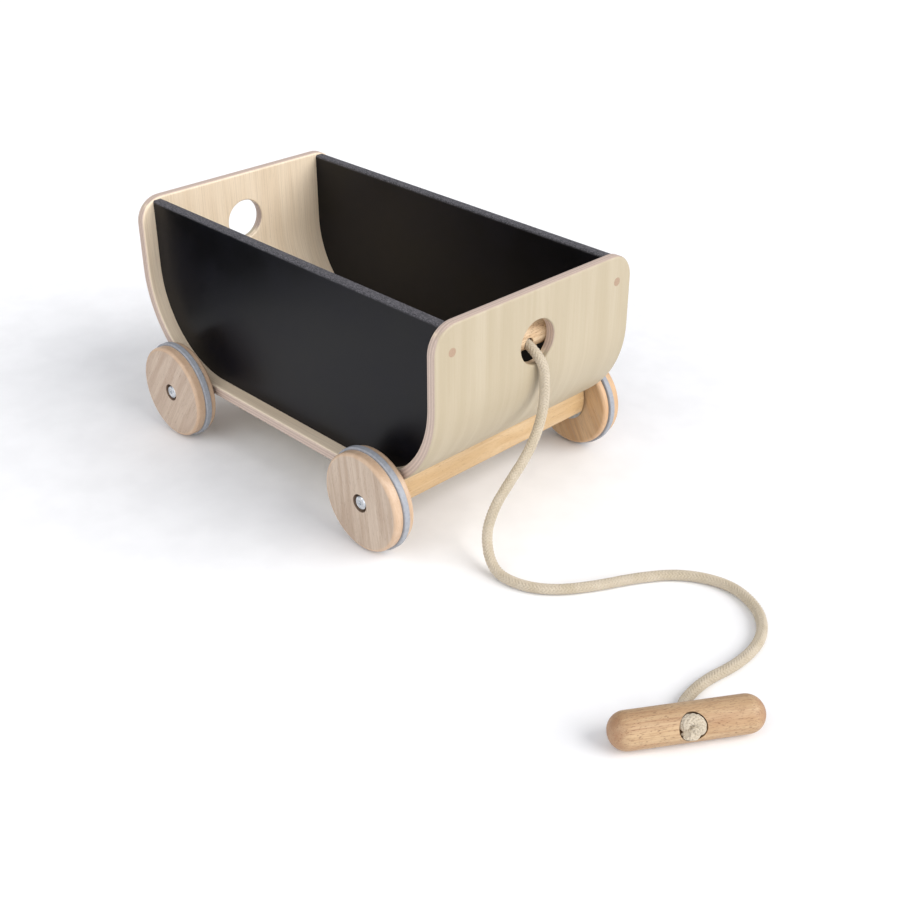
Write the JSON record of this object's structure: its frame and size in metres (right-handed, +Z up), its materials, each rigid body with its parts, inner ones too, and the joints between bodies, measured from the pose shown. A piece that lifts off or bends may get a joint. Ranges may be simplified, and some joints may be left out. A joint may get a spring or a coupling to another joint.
{
  "type": "toy pull wagon",
  "caption": "Child's wooden wagon: bent plywood body with flat black side boards, wooden wheels with rubber tyres, and a cord with a turned handle.",
  "frame": {"origin": "on the ground, under the middle of the wagon's body", "axes": "+X forward to the pull end, +Y to the left, +Z up"},
  "size_m": [0.7332, 0.3341, 0.2245],
  "materials": {
    "plywood": "clear satin lacquer",
    "black_board": "matt black lacquer on a wooden board",
    "cotton_cord": "soft braided cotton",
    "bar_wood": "oiled, open pores",
    "dowel_wood": "satin end grain",
    "beam_wood": "satin",
    "steel": "zinc-bright",
    "wheel_wood": "satin",
    "tyre_rubber": "matt grey"
  },
  "bodies": {
    "wagon": {"plywood_body": "plywood", "left_side_board": "black_board", "right_side_board": "black_board", "pull_cord": "cotton_cord", "pull_handle": "bar_wood", "handle_knot": "cotton_cord", "pull_toggle": "bar_wood", "toggle_knot": "cotton_cord", "front_wall_dowels": "dowel_wood", "front_axle_beam": "beam_wood", "front_axle_rod": "steel", "front_left_washer": "steel", "front_left_axle_cap": "steel", "front_right_washer": "steel", "front_right_axle_cap": "steel", "rear_wall_dowels": "dowel_wood", "rear_axle_beam": "beam_wood", "rear_axle_rod": "steel", "rear_left_washer": "steel", "rear_left_axle_cap": "steel", "rear_right_washer": "steel", "rear_right_axle_cap": "steel"},
    "front_left_wheel_body": {"front_left_wheel": "wheel_wood", "front_left_tyre": "tyre_rubber"},
    "front_right_wheel_body": {"front_right_wheel": "wheel_wood", "front_right_tyre": "tyre_rubber"},
    "rear_left_wheel_body": {"rear_left_wheel": "wheel_wood", "rear_left_tyre": "tyre_rubber"},
    "rear_right_wheel_body": {"rear_right_wheel": "wheel_wood", "rear_right_tyre": "tyre_rubber"}
  },
  "joints": [
    {"name": "front_left_wheel_spin", "type": "hinge", "parent": "wagon", "child": "front_left_wheel_body", "pos_m": [0.1425, 0.1355, 0.048], "axis": [0, 1, 0], "continuous": true},
    {"name": "front_right_wheel_spin", "type": "hinge", "parent": "wagon", "child": "front_right_wheel_body", "pos_m": [0.1425, -0.1355, 0.048], "axis": [0, 1, 0], "continuous": true},
    {"name": "rear_left_wheel_spin", "type": "hinge", "parent": "wagon", "child": "rear_left_wheel_body", "pos_m": [-0.1425, 0.1355, 0.048], "axis": [0, 1, 0], "continuous": true},
    {"name": "rear_right_wheel_spin", "type": "hinge", "parent": "wagon", "child": "rear_right_wheel_body", "pos_m": [-0.1425, -0.1355, 0.048], "axis": [0, 1, 0], "continuous": true}
  ]
}
